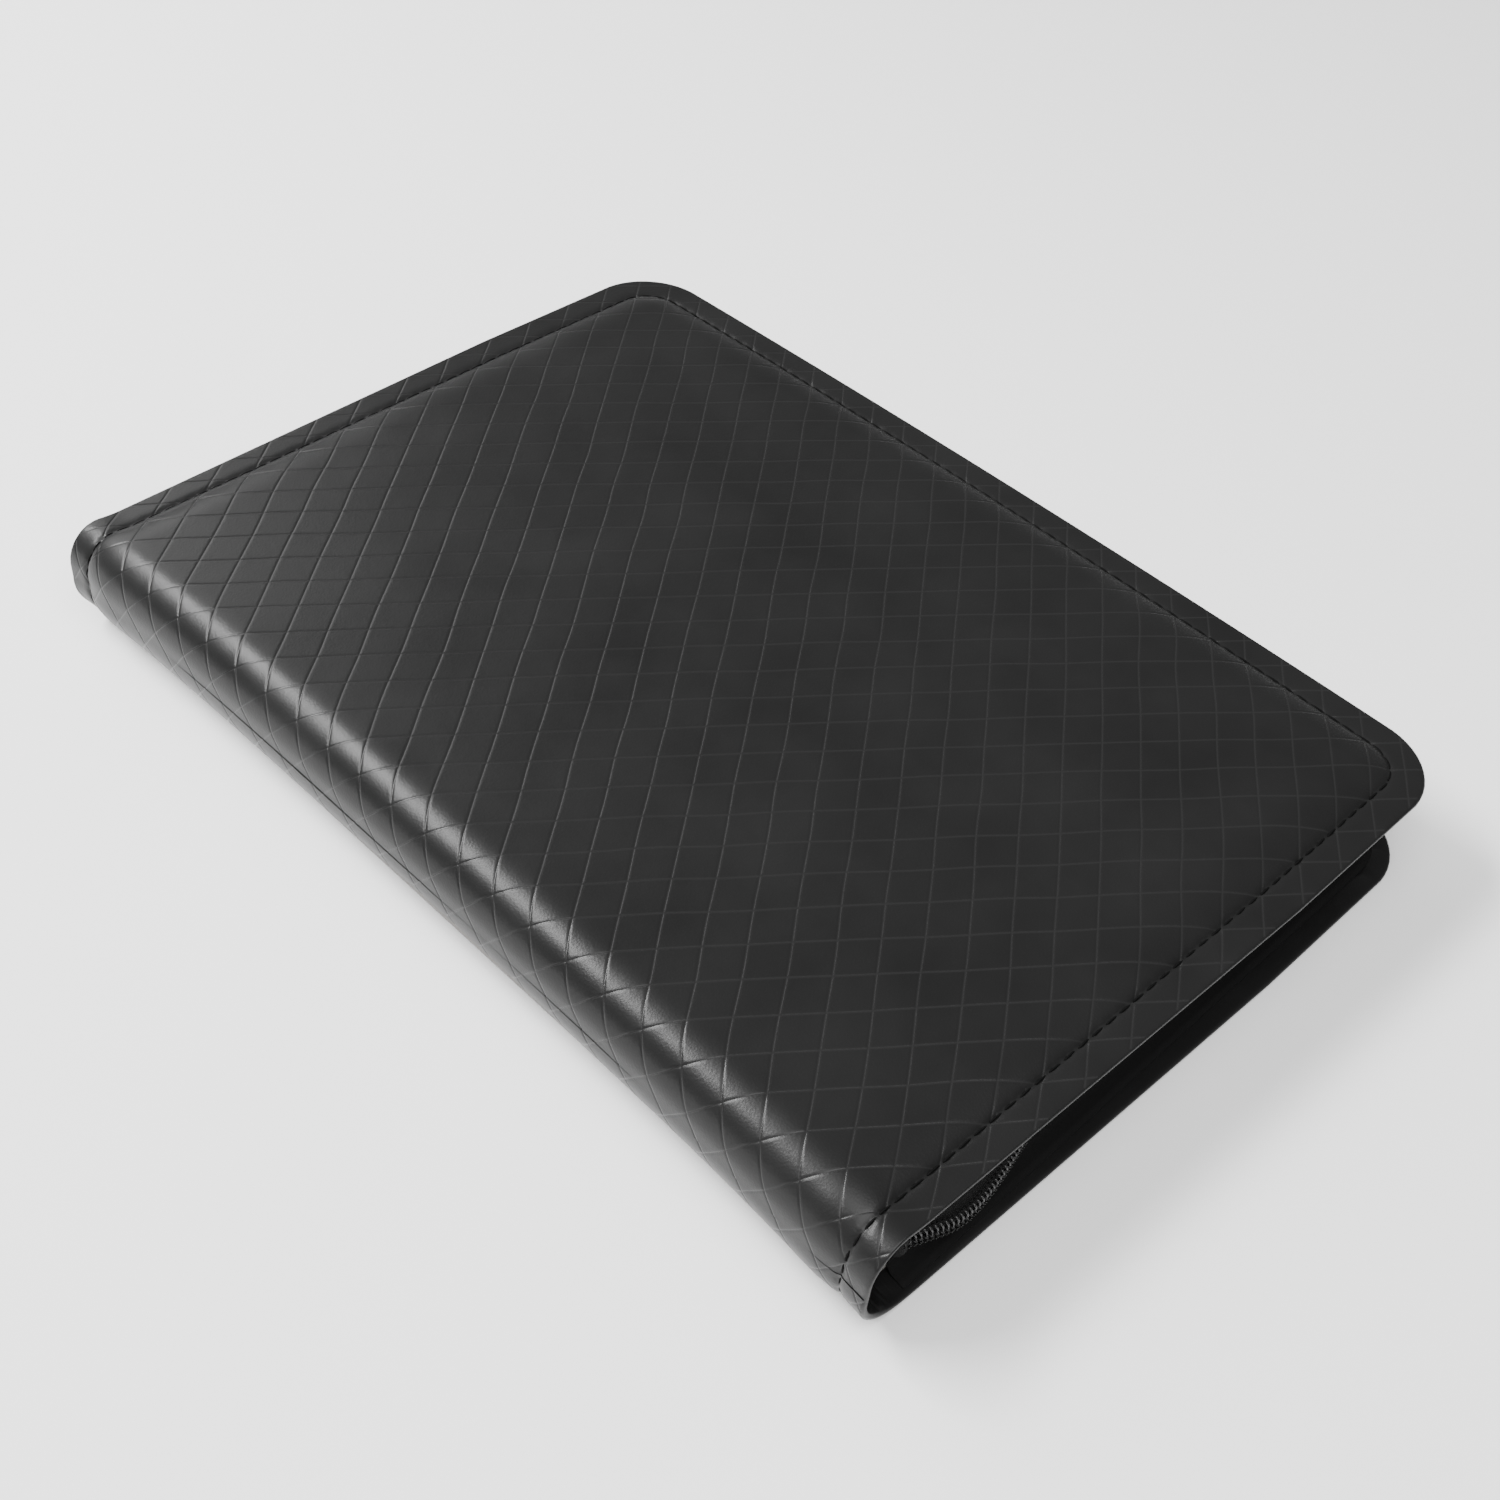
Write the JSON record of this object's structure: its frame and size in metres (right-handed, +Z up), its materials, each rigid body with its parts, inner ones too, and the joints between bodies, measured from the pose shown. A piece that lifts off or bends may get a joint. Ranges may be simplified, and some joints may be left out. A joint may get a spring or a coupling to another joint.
{
  "type": "trading card binder",
  "caption": "Zip-around trading card binder with padded diamond-embossed covers, soft rounded spine, perimeter coil zip and fixed side-loading pocket pages.",
  "frame": {"origin": "middle of the underside of the closed binder lying on its back cover", "axes": "+X from the spine to the fore edge, +Y along the spine, +Z up through the thickness"},
  "size_m": [0.236, 0.332, 0.036],
  "materials": {
    "leather": "matte",
    "foam": "matte",
    "board": "matte",
    "lining": "matte",
    "thread": "satin",
    "zip_tape": "matte",
    "zip_coil": "satin",
    "page_plastic": "satin",
    "zip_metal": "satin"
  },
  "bodies": {
    "back_cover": {"back_leather": "leather", "back_foam": "foam", "back_board": "board", "back_lining": "lining", "back_stitching": "thread", "lower_zip_tape": "zip_tape", "lower_zip_coil": "zip_coil", "upper_tape_tail": "zip_tape", "upper_coil_tail": "zip_coil", "near_end_tab": "zip_tape", "far_end_tab": "zip_tape"},
    "spine": {"spine_leather": "leather", "spine_turn_in_near": "leather", "spine_turn_in_far": "leather", "spine_board": "board", "spine_lining": "lining", "binding_strip": "page_plastic"},
    "front_cover": {"front_leather": "leather", "front_foam": "foam", "front_board": "board", "front_lining": "lining", "front_stitching": "thread", "upper_zip_tape": "zip_tape", "upper_zip_coil": "zip_coil"},
    "slider": {"slider_body": "zip_metal", "slider_bridge": "zip_metal"},
    "pull_tab": {"pull_tab": "zip_metal"},
    "page_01": {"page_01": "page_plastic"},
    "page_02": {"page_02": "page_plastic"},
    "page_03": {"page_03": "page_plastic"},
    "page_04": {"page_04": "page_plastic"},
    "page_05": {"page_05": "page_plastic"},
    "page_06": {"page_06": "page_plastic"},
    "page_07": {"page_07": "page_plastic"},
    "page_08": {"page_08": "page_plastic"},
    "page_09": {"page_09": "page_plastic"},
    "page_10": {"page_10": "page_plastic"},
    "page_11": {"page_11": "page_plastic"},
    "page_12": {"page_12": "page_plastic"},
    "page_13": {"page_13": "page_plastic"},
    "page_14": {"page_14": "page_plastic"},
    "page_15": {"page_15": "page_plastic"},
    "page_16": {"page_16": "page_plastic"},
    "page_17": {"page_17": "page_plastic"},
    "page_18": {"page_18": "page_plastic"},
    "page_19": {"page_19": "page_plastic"},
    "page_20": {"page_20": "page_plastic"}
  },
  "joints": [
    {"name": "spine_fold", "type": "hinge", "parent": "back_cover", "child": "spine", "pos_m": [-0.11542, 0, 0.00258], "axis": [0, -1, 0], "range_deg": [0, 90]},
    {"name": "cover_fold", "type": "hinge", "parent": "spine", "child": "front_cover", "pos_m": [-0.11542, 0, 0.03342], "axis": [0, -1, 0], "range_deg": [0, 90]},
    {"name": "slider_slide", "type": "slide", "parent": "back_cover", "child": "slider", "axis": [1, 0, 0], "range_m": [0, 0.15]},
    {"name": "pull_tab_swing", "type": "hinge", "parent": "slider", "child": "pull_tab", "pos_m": [-0.076, 0.1579, 0.018], "axis": [0, 0, 1], "range_deg": [0, 170]},
    {"name": "page_turn_01", "type": "hinge", "parent": "spine", "child": "page_01", "pos_m": [-0.1124, 0, 0.00755], "axis": [0, -1, 0], "range_deg": [-88, 0]},
    {"name": "page_turn_02", "type": "hinge", "parent": "spine", "child": "page_02", "pos_m": [-0.11165, 0, 0.00865], "axis": [0, -1, 0], "range_deg": [-88, 0]},
    {"name": "page_turn_03", "type": "hinge", "parent": "spine", "child": "page_03", "pos_m": [-0.1109, 0, 0.00975], "axis": [0, -1, 0], "range_deg": [-88, 0]},
    {"name": "page_turn_04", "type": "hinge", "parent": "spine", "child": "page_04", "pos_m": [-0.11015, 0, 0.01085], "axis": [0, -1, 0], "range_deg": [-88, 0]},
    {"name": "page_turn_05", "type": "hinge", "parent": "spine", "child": "page_05", "pos_m": [-0.1094, 0, 0.01195], "axis": [0, -1, 0], "range_deg": [-88, 0]},
    {"name": "page_turn_06", "type": "hinge", "parent": "spine", "child": "page_06", "pos_m": [-0.10865, 0, 0.01305], "axis": [0, -1, 0], "range_deg": [-88, 0]},
    {"name": "page_turn_07", "type": "hinge", "parent": "spine", "child": "page_07", "pos_m": [-0.1079, 0, 0.01415], "axis": [0, -1, 0], "range_deg": [-88, 0]},
    {"name": "page_turn_08", "type": "hinge", "parent": "spine", "child": "page_08", "pos_m": [-0.10715, 0, 0.01525], "axis": [0, -1, 0], "range_deg": [-88, 0]},
    {"name": "page_turn_09", "type": "hinge", "parent": "spine", "child": "page_09", "pos_m": [-0.1064, 0, 0.01635], "axis": [0, -1, 0], "range_deg": [-88, 0]},
    {"name": "page_turn_10", "type": "hinge", "parent": "spine", "child": "page_10", "pos_m": [-0.10565, 0, 0.01745], "axis": [0, -1, 0], "range_deg": [-88, 0]},
    {"name": "page_turn_11", "type": "hinge", "parent": "spine", "child": "page_11", "pos_m": [-0.10565, 0, 0.01855], "axis": [0, -1, 0], "range_deg": [0, 88]},
    {"name": "page_turn_12", "type": "hinge", "parent": "spine", "child": "page_12", "pos_m": [-0.1064, 0, 0.01965], "axis": [0, -1, 0], "range_deg": [0, 88]},
    {"name": "page_turn_13", "type": "hinge", "parent": "spine", "child": "page_13", "pos_m": [-0.10715, 0, 0.02075], "axis": [0, -1, 0], "range_deg": [0, 88]},
    {"name": "page_turn_14", "type": "hinge", "parent": "spine", "child": "page_14", "pos_m": [-0.1079, 0, 0.02185], "axis": [0, -1, 0], "range_deg": [0, 88]},
    {"name": "page_turn_15", "type": "hinge", "parent": "spine", "child": "page_15", "pos_m": [-0.10865, 0, 0.02295], "axis": [0, -1, 0], "range_deg": [0, 88]},
    {"name": "page_turn_16", "type": "hinge", "parent": "spine", "child": "page_16", "pos_m": [-0.1094, 0, 0.02405], "axis": [0, -1, 0], "range_deg": [0, 88]},
    {"name": "page_turn_17", "type": "hinge", "parent": "spine", "child": "page_17", "pos_m": [-0.11015, 0, 0.02515], "axis": [0, -1, 0], "range_deg": [0, 88]},
    {"name": "page_turn_18", "type": "hinge", "parent": "spine", "child": "page_18", "pos_m": [-0.1109, 0, 0.02625], "axis": [0, -1, 0], "range_deg": [0, 88]},
    {"name": "page_turn_19", "type": "hinge", "parent": "spine", "child": "page_19", "pos_m": [-0.11165, 0, 0.02735], "axis": [0, -1, 0], "range_deg": [0, 88]},
    {"name": "page_turn_20", "type": "hinge", "parent": "spine", "child": "page_20", "pos_m": [-0.1124, 0, 0.02845], "axis": [0, -1, 0], "range_deg": [0, 88]}
  ],
  "couplings": [
    {"joint": "cover_fold", "follows": "spine_fold", "ratio": 1},
    {"joint": "page_turn_01", "follows": "spine_fold", "ratio": -0.96222},
    {"joint": "page_turn_02", "follows": "spine_fold", "ratio": -0.96089},
    {"joint": "page_turn_03", "follows": "spine_fold", "ratio": -0.95956},
    {"joint": "page_turn_04", "follows": "spine_fold", "ratio": -0.95822},
    {"joint": "page_turn_05", "follows": "spine_fold", "ratio": -0.95689},
    {"joint": "page_turn_06", "follows": "spine_fold", "ratio": -0.95556},
    {"joint": "page_turn_07", "follows": "spine_fold", "ratio": -0.95422},
    {"joint": "page_turn_08", "follows": "spine_fold", "ratio": -0.95289},
    {"joint": "page_turn_09", "follows": "spine_fold", "ratio": -0.95156},
    {"joint": "page_turn_10", "follows": "spine_fold", "ratio": -0.95022},
    {"joint": "page_turn_11", "follows": "spine_fold", "ratio": 0.95022},
    {"joint": "page_turn_12", "follows": "spine_fold", "ratio": 0.95156},
    {"joint": "page_turn_13", "follows": "spine_fold", "ratio": 0.95289},
    {"joint": "page_turn_14", "follows": "spine_fold", "ratio": 0.95422},
    {"joint": "page_turn_15", "follows": "spine_fold", "ratio": 0.95556},
    {"joint": "page_turn_16", "follows": "spine_fold", "ratio": 0.95689},
    {"joint": "page_turn_17", "follows": "spine_fold", "ratio": 0.95822},
    {"joint": "page_turn_18", "follows": "spine_fold", "ratio": 0.95956},
    {"joint": "page_turn_19", "follows": "spine_fold", "ratio": 0.96089},
    {"joint": "page_turn_20", "follows": "spine_fold", "ratio": 0.96222}
  ]
}
